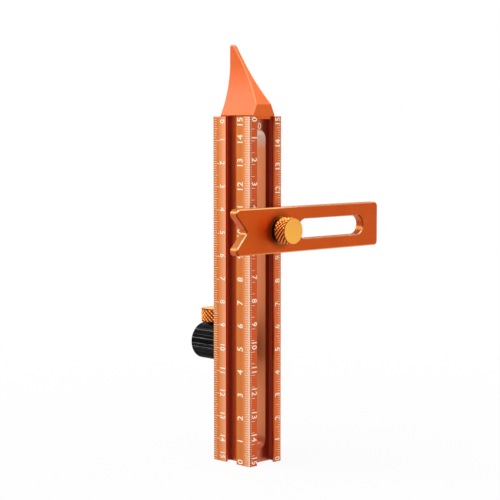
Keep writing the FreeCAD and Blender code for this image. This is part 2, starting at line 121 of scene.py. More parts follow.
def seen_plainly(tree):
    """1 for rays of the camera, of mirrors and of glass, which see white, and 0 for other light."""
    path = add_node(tree, "ShaderNodeLightPath").outputs
    return worked_out(tree, path["Is Camera Ray"], ("MAXIMUM", path["Is Glossy Ray"]),
                      ("MAXIMUM", path["Is Transmission Ray"]))


def room_share(tree, way):
    """How bright the white room looks in reflections: 1 towards BRIGHT_WAY, less away from it."""
    towards = add_node(tree, "ShaderNodeVectorMath",
                       {"operation": "DOT_PRODUCT", 0: way, 1: BRIGHT_WAY})
    return add_node(tree, "ShaderNodeMapRange",
                    {"interpolation_type": "SMOOTHSTEP", "Value": towards.outputs["Value"],
                     "From Min": BRIGHT_SPAN[0], "From Max": BRIGHT_SPAN[1],
                     "To Min": ROOM_DARK, "To Max": 1.0}).outputs["Result"]


world = bpy.data.worlds.new("white_studio")
world.use_nodes = True
tree = world.node_tree
tree.nodes.clear()
way = add_node(tree, "ShaderNodeTexCoord").outputs["Generated"]
upwards = add_node(tree, "ShaderNodeSeparateXYZ", {0: way}).outputs["Z"]
ceiling = add_node(tree, "ShaderNodeMapRange",
                   {"interpolation_type": "SMOOTHSTEP", "Value": upwards,
                    "From Min": CEILING_SPAN[0], "From Max": CEILING_SPAN[1],
                    "To Min": 1.0, "To Max": CEILING_DARK}).outputs["Result"]
path = add_node(tree, "ShaderNodeLightPath").outputs
not_mirrored = worked_out(tree, 1.0, ("SUBTRACT", path["Is Glossy Ray"]))
strength = add_node(tree, "ShaderNodeMapRange",
                    {"Value": seen_plainly(tree), "To Min": ROOM_LIGHT, "To Max": 1.0})
room = worked_out(tree, room_share(tree, way), ("MULTIPLY", ceiling), ("MAXIMUM", not_mirrored),
                  ("MULTIPLY", strength.outputs["Result"]))
background = add_node(tree, "ShaderNodeBackground", {"Color": (1, 1, 1, 1), "Strength": room})
add_node(tree, "ShaderNodeOutputWorld", {"Surface": background.outputs[0]})
scene.world = world


# The floor is matt grey to the lamps, so it keeps the object's shadow, and nearly white to the
# camera and in mirrors. It is a little less white close to the object, in its shade.
FLOOR_HALF = 3.0
FLOOR_GREY = 0.5
FLOOR_WHITE_SHARE = 0.93
FLOOR_SHADE_REACH = (0.06, 0.35)
MIRRORED_WHITE_SHARE = 0.75
MIRRORED_SHADE_REACH = (0.03, 0.14)
floor_mesh = bpy.data.meshes.new("studio_floor")
corners = [(-FLOOR_HALF, -FLOOR_HALF, 0), (FLOOR_HALF, -FLOOR_HALF, 0),
           (FLOOR_HALF, FLOOR_HALF, 0), (-FLOOR_HALF, FLOOR_HALF, 0)]
floor_mesh.from_pydata(corners, [], [(0, 1, 2, 3)])
floor = bpy.data.objects.new("studio_floor", floor_mesh)
scene.collection.objects.link(floor)
floor_paint = bpy.data.materials.new("white_floor")
floor_paint.use_nodes = True
tree = floor_paint.node_tree
tree.nodes.clear()
place = add_node(tree, "ShaderNodeTexCoord").outputs["Object"]
far = add_node(tree, "ShaderNodeVectorMath", {"operation": "LENGTH", 0: place}).outputs["Value"]
away = add_node(tree, "ShaderNodeVectorMath", {"operation": "NORMALIZE", 0: place}).outputs[0]
white_seen, white_mirrored = [
    add_node(tree, "ShaderNodeMapRange",
             {"Value": far, "From Min": reach[0], "From Max": reach[1],
              "To Min": least, "To Max": 1.0}).outputs["Result"]
    for least, reach in ((FLOOR_WHITE_SHARE, FLOOR_SHADE_REACH),
                         (MIRRORED_WHITE_SHARE, MIRRORED_SHADE_REACH))]
white_mirrored = worked_out(tree, white_mirrored, ("MULTIPLY", room_share(tree, away)))
path = add_node(tree, "ShaderNodeLightPath").outputs
fade = add_node(tree, "ShaderNodeMix", {"data_type": "FLOAT", 0: path["Is Glossy Ray"],
                                        2: white_seen, 3: white_mirrored}).outputs[0]
share = worked_out(tree, seen_plainly(tree), ("MULTIPLY", fade))
matt = add_node(tree, "ShaderNodeBsdfDiffuse", {"Color": (FLOOR_GREY, FLOOR_GREY, FLOOR_GREY, 1)})
white = add_node(tree, "ShaderNodeEmission", {"Color": (1, 1, 1, 1), "Strength": 1.0})
mixed = add_node(tree, "ShaderNodeMixShader", {0: share, 1: matt.outputs[0], 2: white.outputs[0]})
add_node(tree, "ShaderNodeOutputMaterial", {"Surface": mixed.outputs[0]})
floor_mesh.materials.append(floor_paint)
floor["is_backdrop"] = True

LAMP_AIM = Vector((0.0, 0.0, 95.0)) * MM
LAMPS = (
    ("top_softbox", (-0.22, 0.05, 1.10), (0.7, 0.7), 14.5),
    ("left_strip_box", (-0.97, 0.63, 0.33), (0.15, 0.7), 0.5),
    ("back_left_softbox", (-0.54, 0.86, 0.63), (0.4, 0.4), 4.5),
    ("front_softbox", (0.05, -1.20, 0.40), (0.5, 0.5), 4.0),
    ("right_softbox", (0.85, -0.35, 0.75), (0.4, 0.4), 2.0),
)
for name, place, sides, watts in LAMPS:
    lamp = bpy.data.lights.new(name, "AREA")
    lamp.shape = "RECTANGLE"
    lamp.size, lamp.size_y = sides
    lamp.energy = watts
    box_light = bpy.data.objects.new(name, lamp)
    box_light.location = place
    box_light.rotation_mode = "QUATERNION"
    box_light.rotation_quaternion = (LAMP_AIM - Vector(place)).to_track_quat("-Z", "Y")
    box_light.visible_camera = False
    scene.collection.objects.link(box_light)


# The bar: an aluminium extrusion with a T-slot in each side, blasted, dyed orange and anodised.
# The oxide is a clear hard skin, so the eye sees the metal's colour through a thin gloss, with
# faint die lines along the bar. Sawn ends and the milled pencil slot are duller than the rest.
NOISE_DETAIL = 3.0
NOISE_SPAN = (0.3, 0.7)

# Sizes of one grain along X, Y and Z. Real die lines and blast pits are near 0.1 mm, too fine to
# show, so they are drawn coarser.
CLOUDS_MM = (9.0, 9.0, 9.0)
BLAST_MM = (0.35, 0.35, 0.35)
DIE_LINES_MM = (0.25, 0.25, 30.0)
BLAST_STRENGTH = 0.12
BLAST_DEPTH = 0.01 * MM
BEVEL_SLANT = 0.7071
BEVEL_SPREAD = 0.1
POLISH_SPREAD = 0.015
FLAT_SHARE = 0.9


def new_material(name):
    """An empty material with a Principled shader on its output."""
    made = bpy.data.materials.new(name)
    made.use_nodes = True
    made.node_tree.nodes.clear()
    shader = add_node(made.node_tree, "ShaderNodeBsdfPrincipled")
    add_node(made.node_tree, "ShaderNodeOutputMaterial", {"Surface": shader.outputs[0]})
    return made, made.node_tree, shader


def object_axes(tree, kind="Object"):
    """The X, Y and Z of a point of the piece, or of the Normal there."""
    place = add_node(tree, "ShaderNodeTexCoord").outputs[kind]
    return add_node(tree, "ShaderNodeSeparateXYZ", {0: place}).outputs


def object_noise(tree, grain_mm):
    """Noise in Object coordinates. grain_mm is the size of one grain along X, Y and Z."""
    place = add_node(tree, "ShaderNodeTexCoord").outputs["Object"]
    scaled = add_node(tree, "ShaderNodeMapping",
                      {"Vector": place, "Scale": [1 / (step * MM) for step in grain_mm]})
    return add_node(tree, "ShaderNodeTexNoise",
                    {"Vector": scaled.outputs["Vector"], "Scale": 1.0,
                     "Detail": NOISE_DETAIL}).outputs["Fac"]


def noise_between(tree, noise, low, high):
    """Noise hardly leaves NOISE_SPAN, so that span becomes low to high."""
    return add_node(tree, "ShaderNodeMapRange",
                    {"Value": noise, "From Min": NOISE_SPAN[0], "From Max": NOISE_SPAN[1],
                     "To Min": low, "To Max": high}).outputs["Result"]


def share_between(tree, value, span):
    """0 at the span's first end and before it, 1 at its other end and past it, even between."""
    return add_node(tree, "ShaderNodeMapRange", {"Value": value, "From Min": span[0],
                                                 "From Max": span[1]}).outputs["Result"]


def within(tree, value, limit):
    """1 where a coordinate is nearer to zero than the limit, else 0."""
    return worked_out(tree, value, ("ABSOLUTE",), ("LESS_THAN", limit))


def laid_over(tree, colour, *coats):
    """Colours laid one over the other, as tones of the dye are, and as painted light and shade are.
    A coat is its share, 0 to 1, and its colour. A colour is a hex text or a socket."""
    for share, coat in coats:
        settings = {"data_type": "RGBA", 0: share, 6: colour, 7: coat}
        colour = add_node(tree, "ShaderNodeMix", settings).outputs[2]
    return colour


def anodised(name, tones, painted_bevel_tone, bevel_axis, line_mm, roughness, skin):
    """Dyed anodised aluminium in two close tones. line_mm is the size of its fine lines along X, Y
    and Z. Its bevels, where bevel_axis's share of the normal is about 0.7, are painted a tone of
    their own, which stands for the light or the shade that they catch. skin is the weight and the
    roughness of the clear oxide."""
    made, tree, shader = new_material(name)
    lines = object_noise(tree, line_mm)
    clouds = object_noise(tree, CLOUDS_MM)
    blend = worked_out(tree, noise_between(tree, lines, 0.0, 0.5),
                       ("ADD", noise_between(tree, clouds, 0.0, 0.5)))
    bevel = worked_out(tree, object_axes(tree, "Normal")[bevel_axis], ("ABSOLUTE",),
                       ("COMPARE", BEVEL_SLANT, BEVEL_SPREAD))
    colour = laid_over(tree, tones[0], (blend, tones[1]), (bevel, painted_bevel_tone))
    polish_and_highlight = noise_between(tree, lines, roughness - POLISH_SPREAD, roughness + POLISH_SPREAD)
    bump = add_node(tree, "ShaderNodeBump", {"Strength": BLAST_STRENGTH, "Distance": BLAST_DEPTH,
                                             "Height": object_noise(tree, BLAST_MM)})
    tree.links.new(colour, shader.inputs["Base Color"])
    tree.links.new(polish_and_highlight, shader.inputs["Roughness"])
    tree.links.new(bump.outputs[0], shader.inputs["Normal"])
    shader.inputs["Metallic"].default_value = 1.0
    shader.inputs["Coat Weight"].default_value = skin[0]
    shader.inputs["Coat Roughness"].default_value = skin[1]
    return made, tree, shader, colour, polish_and_highlight


def dress(node, material):
    """Gives a CAD node a material."""
    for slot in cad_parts[node].material_slots:
        slot.material = material


# The bar's bevels, the chamfers on its long corners, get a near-white painted highlight.
bar_finish, tree, shader, colour, polish_and_highlight = anodised(
    "anodised_bar_orange", ("#D87628", "#CC6A22"), "#FFF4D8", "X", DIE_LINES_MM, 0.3, (0.36, 0.25))
place = object_axes(tree)
facing = object_axes(tree, "Normal")
narrow, wide, end = [worked_out(tree, facing[axis], ("ABSOLUTE",), ("GREATER_THAN", FLAT_SHARE))
                     for axis in "XYZ"]
across = worked_out(tree, place["X"], ("ABSOLUTE",))
edge = worked_out(tree, place["Y"], ("ABSOLUTE",))

# No face of an extrusion is quite flat: each strip beside a slot is domed, lower by 14 times the
# square of the distance from its middle, in metres. It shows in the gloss alone.
STRIP_MIDDLE = 7.4 * MM
SLOT_MOUTH = 3.35 * MM
STRIP_CROWN = -14.0
off = worked_out(tree, edge, ("MAXIMUM", SLOT_MOUTH), ("SUBTRACT", STRIP_MIDDLE))
dome = worked_out(tree, off, ("MULTIPLY", off), ("MULTIPLY", STRIP_CROWN))
crown = add_node(tree, "ShaderNodeBump", {"Strength": 1.0, "Distance": 1.0, "Height": dome})
tree.links.new(crown.outputs[0], shader.inputs["Coat Normal"])

# The outer faces: round_bar is the way across a face, and runs the same way round the bar on all
# four. Light and shade are painted on them: each strip of a narrow face pales towards one edge, a
# painted sheen; the bevels turn brown towards the wide faces, a painted line of shade; and the
# wide faces are a darker, redder copy of the dye, darker still towards one edge, as painted shade.
STRIP_REPEAT = 14.85 * MM
STRIP_PALING = (6.6 * MM, 11.3 * MM)
EDGE_BROWNING = (11.15 * MM, 11.4 * MM)
FRONT_SPAN = (-4.0 * MM, 4.0 * MM)
turned = worked_out(tree, facing["Y"], ("MULTIPLY", -1.0))
round_bar = worked_out(tree, place["X"], ("MULTIPLY", turned),
                       ("ADD", worked_out(tree, place["Y"], ("MULTIPLY", facing["X"]))))
strip = worked_out(tree, round_bar, ("FLOORED_MODULO", STRIP_REPEAT))
paler = worked_out(tree, share_between(tree, strip, STRIP_PALING), ("MULTIPLY", narrow))
browner = worked_out(tree, share_between(tree, edge, EDGE_BROWNING), ("SUBTRACT", wide))
front = laid_over(tree, "#D2541C", (share_between(tree, round_bar, FRONT_SPAN), "#DC6828"))
colour = laid_over(tree, colour, (paler, "#F2A276"), (browner, "#A84C22"), (wide, front))

# Inside the T-slots: a wide slot's floor is painted darker under its lips, as their shade, with a
# painted highlight line on each side beside its corner with the wall, and a narrow slot's floor
# glows where light from both lips falls on it: painted bright in its middle, dark towards the lips.
CHANNEL_INSIDE = (9.05 * MM, 10.9 * MM)
LIP_SHADE = (7.0 * MM, 7.6 * MM)
CORNER_HIGHLIGHT_MIDDLE = 6.8 * MM
CORNER_HIGHLIGHT_HALF = 0.25 * MM
NARROW_GLOW = (4.1 * MM, 1.5 * MM)
inside = worked_out(tree, within(tree, place["X"], CHANNEL_INSIDE[0]),
                    ("MULTIPLY", within(tree, place["Y"], CHANNEL_INSIDE[1])),
                    ("MULTIPLY", worked_out(tree, end, ("LESS_THAN", 0.5))))
# A painted highlight line along the wide slot's floor, beside its corner with the wall.
corner_highlight_line = worked_out(tree, across, ("SUBTRACT", CORNER_HIGHLIGHT_MIDDLE), ("ABSOLUTE",),
                      ("LESS_THAN", CORNER_HIGHLIGHT_HALF), ("MULTIPLY", wide))
narrow_floor = laid_over(tree, "#962C0C", (share_between(tree, edge, NARROW_GLOW), "#FF7436"))
groove = laid_over(tree, "#D87450", (share_between(tree, across, LIP_SHADE), "#BC5A3C"),
                   (corner_highlight_line, "#FFC89C"), (narrow, narrow_floor))

# The pencil slot's milled wall is painted pale, as a reflection of the white room beyond the slot.
# It turns near white towards its upper end, a painted highlight, and darker at its foot, as painted
# shade. Its mill marks, and the saw marks on the bar's ends, are too fine to show, so they are
# drawn as a rougher surface. The metal share is less inside the narrow slots and on the sawn ends,
# and the milled wall gets some of it back.
PENCIL_SLOT = (4.3 * MM, 6.97 * MM, 69.5 * MM)
BAR_MIDDLE = 75.0 * MM
WALL_FOOT = (8.6 * MM, 11.4 * MM)
WALL_HEAD = (136.2 * MM, 140.6 * MM)
NARROW_SATIN = -0.6
MILLED_SHINE = 0.42
SAWN_DULLNESS = 0.8
CUT_ROUGHNESS = 0.25
wall = laid_over(tree, "#CC6C3C", (share_between(tree, place["Z"], WALL_FOOT), "#FFBE88"),
                 (share_between(tree, place["Z"], WALL_HEAD), "#FFF4EA"))
along = worked_out(tree, place["Z"], ("SUBTRACT", BAR_MIDDLE))
milled = worked_out(tree, within(tree, place["X"], PENCIL_SLOT[0]),
                    ("MULTIPLY", within(tree, place["Y"], PENCIL_SLOT[1])),
                    ("MULTIPLY", within(tree, along, PENCIL_SLOT[2])))
sawn = worked_out(tree, end, ("SUBTRACT", milled), ("MAXIMUM", 0.0))
colour = laid_over(tree, colour, (inside, groove), (milled, wall))
tree.links.new(colour, shader.inputs["Base Color"])
satin = worked_out(tree, inside, ("MULTIPLY", narrow), ("MULTIPLY", NARROW_SATIN),
                   ("ADD", worked_out(tree, milled, ("MULTIPLY", MILLED_SHINE))), ("ADD", 1.0),
                   ("SUBTRACT", worked_out(tree, sawn, ("MULTIPLY", SAWN_DULLNESS))))
tree.links.new(satin, shader.inputs["Metallic"])
rougher = worked_out(tree, milled, ("ADD", sawn), ("MULTIPLY", CUT_ROUGHNESS), ("ADD", polish_and_highlight))
tree.links.new(rougher, shader.inputs["Roughness"])
dress("ruler_bar", bar_finish)


# The scales: millimetre marks and centimetre numerals along both edges of every side. A laser
# burns the dye out of the oxide and leaves it chalky, so the marks are matt and cream white. Each
# mark is a flake 0.02 mm proud of the face.
bar_low, bar_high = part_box("ruler_bar")
BAR_TOP = bar_high.z
MARK_PROUD = 0.02 * MM
MARK_SUNK = 0.02 * MM
MARK_WIDTH = 0.15 * MM
EDGE_MARGIN = 0.55 * MM
CENTIMETRES = 15
NUMERAL_WEIGHT = 0.014
POLISH_BELOW = 0.04
POLISH_ABOVE = 0.06


def two_tone(name, light, dark, grain_mm, metallic, roughness, bump_mm):
    """A fine-grained material: noise mixes two close tones and drives roughness and bump."""
    made, tree, shader = new_material(name)
    grain = object_noise(tree, grain_mm)
    colour = laid_over(tree, light, (noise_between(tree, grain, 0.0, 1.0), dark))
    polish_and_highlight = noise_between(tree, grain, roughness - POLISH_BELOW, roughness + POLISH_ABOVE)
    bump = add_node(tree, "ShaderNodeBump",
                    {"Strength": 1.0, "Distance": bump_mm * MM, "Height": grain})
    tree.links.new(colour, shader.inputs["Base Color"])
    tree.links.new(polish_and_highlight, shader.inputs["Roughness"])
    tree.links.new(bump.outputs[0], shader.inputs["Normal"])
    shader.inputs["Metallic"].default_value = metallic
    return made, tree, shader, colour


engraving = two_tone(
    "laser_engraving_cream", "#FFF8E6", "#F8E8C8", (0.3, 0.3, 0.3), 0.0, 0.6, 0.005)[0]


def solid_from_flat(flat, faces, origin, right, up, out):
    """Carries flat (right, up) points onto a plane and gives them thickness along out: a copy below
    the face and one above it, with walls round the outline, which is the edges used only once."""
    count = len(flat)
    base = np.array(origin) + flat[:, :1] * np.array(right) + flat[:, 1:2] * np.array(up)
    points = np.vstack([base - np.array(out) * MARK_SUNK, base + np.array(out) * MARK_PROUD])
    edges = dict.fromkeys(pair for face in faces for pair in zip(face, face[1:] + face[:1]))
    walls = [(a, b, b + count, a + count) for a, b in edges if (b, a) not in edges]
    lids = [tuple(corner + count for corner in face) for face in faces]
    floors = [tuple(reversed(face)) for face in faces]
    return points, lids + floors + walls


def flat_numeral(text):
    """A numeral's outline as flat points and faces, one unit high, with its centre at zero."""
    curve = bpy.data.curves.new("numeral", "FONT")
    curve.body = text
    curve.resolution_u = 3
    curve.offset = NUMERAL_WEIGHT
    holder = bpy.data.objects.new("numeral", curve)
    mesh = bpy.data.meshes.new_from_object(holder)
    flat = np.empty(len(mesh.vertices) * 3)
    mesh.vertices.foreach_get("co", flat)
    flat = flat.reshape(-1, 3)[:, :2]
    faces = [tuple(face.vertices) for face in mesh.polygons]
    low, high = flat.min(0), flat.max(0)
    bpy.data.objects.remove(holder)
    bpy.data.curves.remove(curve)
    bpy.data.meshes.remove(mesh)
    return (flat - (low + high) / 2) / (high[1] - low[1]), faces


def join_piece(name, parts, material, body):
    """One mesh from many (points, faces) parts, riding on a body."""
    points = []
    faces = []
    count = 0
    for part_points, part_faces in parts:
        points.append(part_points)
        faces += [tuple(int(corner) + count for corner in face) for face in part_faces]
        count += len(part_points)
    mesh = bpy.data.meshes.new(name)
    mesh.from_pydata(np.vstack(points).tolist(), [], faces)
    mesh.materials.append(material)
    piece = bpy.data.objects.new(name, mesh)
    scene.collection.objects.link(piece)
    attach(piece, body)
    return piece


NUMERALS = {number: flat_numeral(str(number)) for number in range(CENTIMETRES + 1)}
SQUARE = [(0, 1, 2, 3)]
MARK_SIDES = np.array([-1, -1, 1, 1]) * MARK_WIDTH / 2


def add_scale(name, edge, inward, out, zero_up, first, short, half, numeral):
    """One scale. edge is a point of the bar's long edge, inward the way across the face from it.
    first is how far the top mark lies under the bar's top. Lengths are in millimetres: short and
    half marks, and the numeral's foot, height, stretch, shift along, stand, long mark and least
    distance from the end. With a stand of 1 it begins at its mark and with -1 it ends there."""
    foot, height, stretch, shift, stand, long, end_margin = numeral
    edge, inward, out = Vector(edge), Vector(inward), Vector(out)
    parts = []
    for step in range(CENTIMETRES * 10 + 1):
        z = BAR_TOP - first * MM - step * MM
        if z < MARK_WIDTH or z > BAR_TOP - MARK_WIDTH:
            continue
        length = (long if step % 10 == 0 else half if step % 5 == 0 else short) * MM
        reach = np.array([EDGE_MARGIN, length, length, EDGE_MARGIN])
        flat = np.stack([reach, MARK_SIDES], 1)
        origin = Vector((edge.x, edge.y, z))
        parts.append(solid_from_flat(flat, SQUARE, origin, inward, out.cross(inward), out))
    for centimetre in range(CENTIMETRES + 1):
        number = centimetre if zero_up else CENTIMETRES - centimetre
        flat, faces = NUMERALS[number]
        size = np.array([stretch, 1.0]) * height * MM
        half_wide = flat[:, 0].max() * size[0]
        least = half_wide + end_margin * MM
        z = BAR_TOP - (first + centimetre * 10 - shift) * MM + stand * half_wide
        origin = edge + inward * (foot + height / 2) * MM
        origin.z = min(max(z, least), BAR_TOP - least)
        parts.append(solid_from_flat(flat * size, faces, origin, inward.cross(out), inward, out))
    join_piece(name, parts, engraving, "bar")


# Foot, height, stretch, shift, stand, long mark and end margin of each kind of numeral.
LEFT_NUMERAL = (4.6, 3.0, 0.86, 0.4, 0, 4.2, 1.3)
POST_NUMERAL = (4.2, 3.3, 0.94, 0.85, 0, 3.2, 0.5)
NEAR_NUMERAL = (1.4, 2.9, 0.98, 1.05, 1, 3.2, 0.4)
FAR_NUMERAL = (1.1, 2.9, 0.9, -0.05, -1, 3.2, 0.5)
x0, x1 = bar_low.x, bar_high.x
y0, y1 = bar_low.y, bar_high.y
# Name, edge, way inward, way out, whether zero is at the top, first, short, half, numeral.
SCALES = (
    ("scale_left_outer", (x0, y1, 0), (0, -1, 0), (-1, 0, 0), True, 0.3, 2.5, 3.1, LEFT_NUMERAL),
    ("scale_left_inner", (x0, y0, 0), (0, 1, 0), (-1, 0, 0), False, 0.3, 2.7, 3.0, POST_NUMERAL),
    ("scale_front_inner", (x0, y0, 0), (1, 0, 0), (0, -1, 0), True, 0.3, 1.3, 2.9, NEAR_NUMERAL),
    ("scale_front_outer", (x1, y0, 0), (-1, 0, 0), (0, -1, 0), False, -0.15, 2.2, 3.0, FAR_NUMERAL),
    ("scale_right_outer", (x1, y0, 0), (0, 1, 0), (1, 0, 0), True, 0.3, 2.5, 3.1, LEFT_NUMERAL),
    ("scale_right_inner", (x1, y1, 0), (0, -1, 0), (1, 0, 0), False, 0.3, 2.7, 3.0, POST_NUMERAL),
    ("scale_back_inner", (x1, y1, 0), (-1, 0, 0), (0, 1, 0), True, 0.3, 1.3, 2.9, NEAR_NUMERAL),
    ("scale_back_outer", (x0, y1, 0), (1, 0, 0), (0, 1, 0), False, -0.15, 2.2, 3.0, FAR_NUMERAL),
)
for scale in SCALES:
    add_scale(*scale)

# The small zero at the top of the front slot's floor.
CHANNEL_FLOOR = -7.0 * MM
FLOOR_ZERO_SIZE = (1.9, 2.8)
FLOOR_ZERO_MIDDLE = (0.5 * MM, 145.95 * MM)
flat, faces = NUMERALS[0]
flat = flat / (2 * flat.max(0)) * np.array(FLOOR_ZERO_SIZE) * MM
zero_at = (FLOOR_ZERO_MIDDLE[0], CHANNEL_FLOOR, FLOOR_ZERO_MIDDLE[1])
zero = solid_from_flat(flat, faces, zero_at, (1, 0, 0), (0, 0, 1), (0, -1, 0))
join_piece("scale_front_channel_zero", [zero], engraving, "bar")


# The pointed tip: a milled block with hollow flanks, blasted and coated in matt orange, so that it
# scatters light like paint. Its ridges are softened by hand, and a paler tone is painted along them
# as a highlight. Two tongues fill the tops of the wide slots, and a spigot goes into the bar's web.
RIDGE_RADIUS = 0.45 * MM
RIDGE_LIMIT = 0.42
FLAT_LEAD = 0.06 * MM
TIP_FLANK_RISE = 24.0 * MM
TIP_NECK_HALF = 1.0 * MM
TIP_FRONT_RISE = 5.1 * MM
TIP_TOP_DEPTH = 2.2 * MM
TIP_TOP_ROUND = 1.0 * MM
TIP_TOP_NARROWING = 0.45
TIP_BASE_HALF = 6.95 * MM
HEEL_CHAMFER = 0.5 * MM
FRONT_RINGS = (0.7 * MM, 8)
LEAN_RINGS = (0.1 * MM, 44)
TOP_RINGS = 7
TONGUE_HALF = 4.4 * MM
TONGUE_RECESS = 0.4 * MM
TONGUE_INNER = 7.1 * MM
TONGUE_DROP = 1.14 * MM
TONGUE_RADIUS = 0.05 * MM
SPIGOT_RADIUS = 2.5 * MM
SPIGOT_ROUNDING = 0.999
SPIGOT_LENGTH = 4.0 * MM


def grid_faces(rows, columns):
    """Quads between neighbouring rings of a grid whose columns run on from last to first."""
    row, column = np.meshgrid(np.arange(rows - 1), np.arange(columns), indexing="ij")
    following = (column + 1) % columns
    corners = [row * columns + column, row * columns + following,
               (row + 1) * columns + following, (row + 1) * columns + column]
    return np.stack(corners, -1).reshape(-1, 4)


def end_lids(rows, columns):
    """The flat lids of a grid's first and last ring."""
    return [list(range(columns))[::-1], list(range((rows - 1) * columns, rows * columns))]


def stacked(ring, heights):
    """A closed solid of (points, faces): flat rings, each lifted to its height, and two lids."""
    rows, columns = ring.shape[:2]
    level = np.repeat(heights[:, None, None], columns, 1)
    points = np.concatenate([ring, level], -1).reshape(-1, 3)
    return points, grid_faces(rows, columns).tolist() + end_lids(rows, columns)


def soft_rectangle(left, right, near, far, radius, arc_steps=6):
    """Rings round rectangles with rounded corners, one ring for each row of the arrays given.
    A corner point is its arc centre plus radius times (cosine, sine); one more point at each end
    of an arc keeps the shading of the flats flat."""
    turn = np.linspace(0, math.pi / 2, arc_steps)
    rings = []
    for quarter, (x_edge, y_edge, x_way, y_way) in enumerate(
            ((right, far, 1, 1), (left, far, -1, 1), (left, near, -1, -1), (right, near, 1, -1))):
        angle = turn + quarter * math.pi / 2
        x = (x_edge - x_way * radius)[:, None] + radius[:, None] * np.cos(angle)
        y = (y_edge - y_way * radius)[:, None] + radius[:, None] * np.sin(angle)
        arc = np.stack([x, y], -1)
        before = arc[:, :1] - FLAT_LEAD * np.array([-math.sin(angle[0]), math.cos(angle[0])])
        after = arc[:, -1:] + FLAT_LEAD * np.array([-math.sin(angle[-1]), math.cos(angle[-1])])
        rings.append(np.concatenate([before, arc, after], 1))
    return np.concatenate(rings, 1)


def tip_body():
    """Soft rectangles stacked up the tip. The half width falls along an arc that ends upright at
    the neck, the front stands upright and then leans straight back, and the back is upright. At
    the heel the flanks are chamfered, and the last millimetre rounds over to the top. FRONT_RINGS
    and LEAN_RINGS say how far above the corner under them rings begin, and how many there are."""
    low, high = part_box("pointer_tip")
    front, back = low.y, high.y
    height = high.z - BAR_TOP
    spread = TIP_BASE_HALF - TIP_NECK_HALF
    arc = (spread ** 2 + TIP_FLANK_RISE ** 2) / (2 * spread)
    upright = np.linspace(FRONT_RINGS[0], TIP_FRONT_RISE, FRONT_RINGS[1])
    leaning = np.linspace(TIP_FRONT_RISE + LEAN_RINGS[0], height - TIP_TOP_ROUND, LEAN_RINGS[1])
    roll = np.linspace(0, math.pi / 2, TOP_RINGS + 1)[1:]
    rise = np.concatenate([[0.0, HEEL_CHAMFER], upright, leaning,
                           height - TIP_TOP_ROUND * (1 - np.sin(roll))])
    inset = np.concatenate([np.zeros(len(rise) - len(roll)), TIP_TOP_ROUND * (1 - np.cos(roll))])
    below = np.clip(TIP_FLANK_RISE - rise, 0, None)
    half = TIP_NECK_HALF + arc - np.sqrt(arc ** 2 - below ** 2)
    half[0] -= HEEL_CHAMFER
    half -= inset * TIP_TOP_NARROWING
    lean = (back - TIP_TOP_DEPTH - front) / (height - TIP_FRONT_RISE)
    near = front + np.clip(rise - TIP_FRONT_RISE, 0, None) * lean + inset
    far = np.full_like(near, back) - inset
    radius = np.minimum(RIDGE_RADIUS, RIDGE_LIMIT * np.minimum(half, (far - near) / 2))
    return stacked(soft_rectangle(-half, half, near, far, radius), BAR_TOP + rise)


def straight_block(left, right, near, far, bottom, top, radius):
    """A block with its upright edges rounded: the same soft rectangle at two levels."""
    ends = np.array([1.0, 1.0])
    ring = soft_rectangle(left * ends, right * ends, near * ends, far * ends, radius * ends)
    return stacked(ring, np.array([bottom, top]))


def smooth_piece(name, parts, material, body, angle=30):
    """A joined piece, shaded smooth but for edges sharper than the angle."""
    piece = join_piece(name, parts, material, body)
    piece.data.shade_smooth()
    piece.data.set_sharp_from_angle(angle=math.radians(angle))
    return piece


# The heel's chamfer lies in its own shade: a dark line along the foot of each flank, which fades
# out near the flank's two ends.
RIDGE_HIGHLIGHT_STRENGTH = 0.4
TIP_GLOSS = 0.32
FLANK_SHARE = 0.5
HEEL_SPAN = (BAR_TOP + HEEL_CHAMFER, BAR_TOP)
HEEL_NEAR = (-3.8 * MM, -3.0 * MM)
HEEL_FAR = (9.0 * MM, 6.0 * MM)
HEEL_FOOT = BAR_TOP - 0.05 * MM
tip_finish, tree, shader, colour = two_tone(
    "matt_coated_tip", "#E86412", "#E05E0E", (0.4, 0.4, 0.4), 0.0, 0.45, 0.004)
# A paler tone painted along the ridges, from a mesh attribute: a painted highlight.
ridge_highlight = add_node(tree, "ShaderNodeAttribute", {"attribute_name": "ridge_highlight"}).outputs["Fac"]
ridge_highlight = worked_out(tree, ridge_highlight, ("MULTIPLY", RIDGE_HIGHLIGHT_STRENGTH))
place = object_axes(tree)
flank = object_axes(tree, "Normal")["X"]
along = worked_out(tree, place["Y"], ("MULTIPLY", flank))
on_flank = worked_out(tree, flank, ("ABSOLUTE",), ("GREATER_THAN", FLANK_SHARE))
above_bar = worked_out(tree, place["Z"], ("GREATER_THAN", HEEL_FOOT))
heel = worked_out(tree, share_between(tree, place["Z"], HEEL_SPAN),
                  ("MULTIPLY", share_between(tree, along, HEEL_NEAR)),
                  ("MULTIPLY", share_between(tree, along, HEEL_FAR)),
                  ("MULTIPLY", on_flank), ("MULTIPLY", above_bar))
colour = laid_over(tree, colour, (ridge_highlight, "#FFB488"), (heel, "#3A0A04"))
tree.links.new(colour, shader.inputs["Base Color"])
shader.inputs["Specular IOR Level"].default_value = TIP_GLOSS

tip_low, tip_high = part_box("pointer_tip")
tongue = (BAR_TOP - TONGUE_DROP, BAR_TOP, TONGUE_RADIUS)
spigot = (BAR_TOP - SPIGOT_LENGTH, BAR_TOP, SPIGOT_RADIUS * SPIGOT_ROUNDING)
tip_parts = [
    tip_body(),
    straight_block(-TONGUE_HALF, TONGUE_HALF, tip_low.y + TONGUE_RECESS, -TONGUE_INNER, *tongue),
    straight_block(-TONGUE_HALF, TONGUE_HALF, TONGUE_INNER, tip_high.y - TONGUE_RECESS, *tongue),
    straight_block(-SPIGOT_RADIUS, SPIGOT_RADIUS, -SPIGOT_RADIUS, SPIGOT_RADIUS, *spigot),
]
tip = smooth_piece("pointer_tip_form", tip_parts, tip_finish, "bar")

